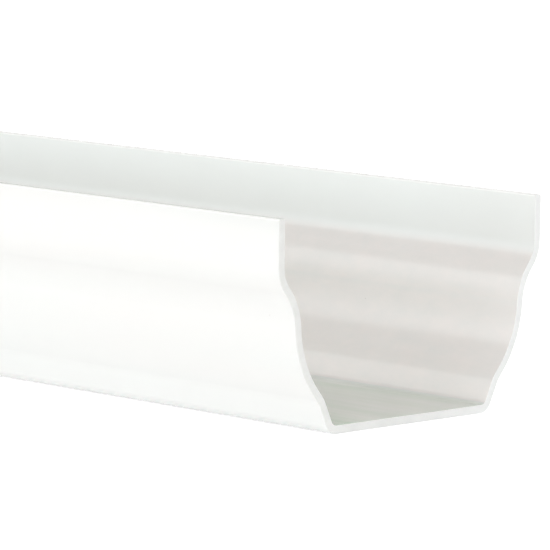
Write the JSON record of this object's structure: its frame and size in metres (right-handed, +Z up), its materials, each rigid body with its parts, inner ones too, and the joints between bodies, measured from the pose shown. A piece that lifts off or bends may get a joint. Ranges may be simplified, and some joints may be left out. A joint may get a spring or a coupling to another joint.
{
  "type": "gutter section",
  "caption": "Straight length of white extruded vinyl rain gutter, open at the top, with matching ogee sides and square-cut open ends.",
  "frame": {"origin": "middle of the underside of the flat floor, halfway along the length", "axes": "+X along the gutter to the end that the picture shows, -Y to the front side, +Y to the back side, +Z up to the open top"},
  "size_m": [3.048, 0.127, 0.0735],
  "materials": {
    "vinyl": "satin"
  },
  "bodies": {
    "root": {"gutter_section": "vinyl"}
  },
  "joints": []
}
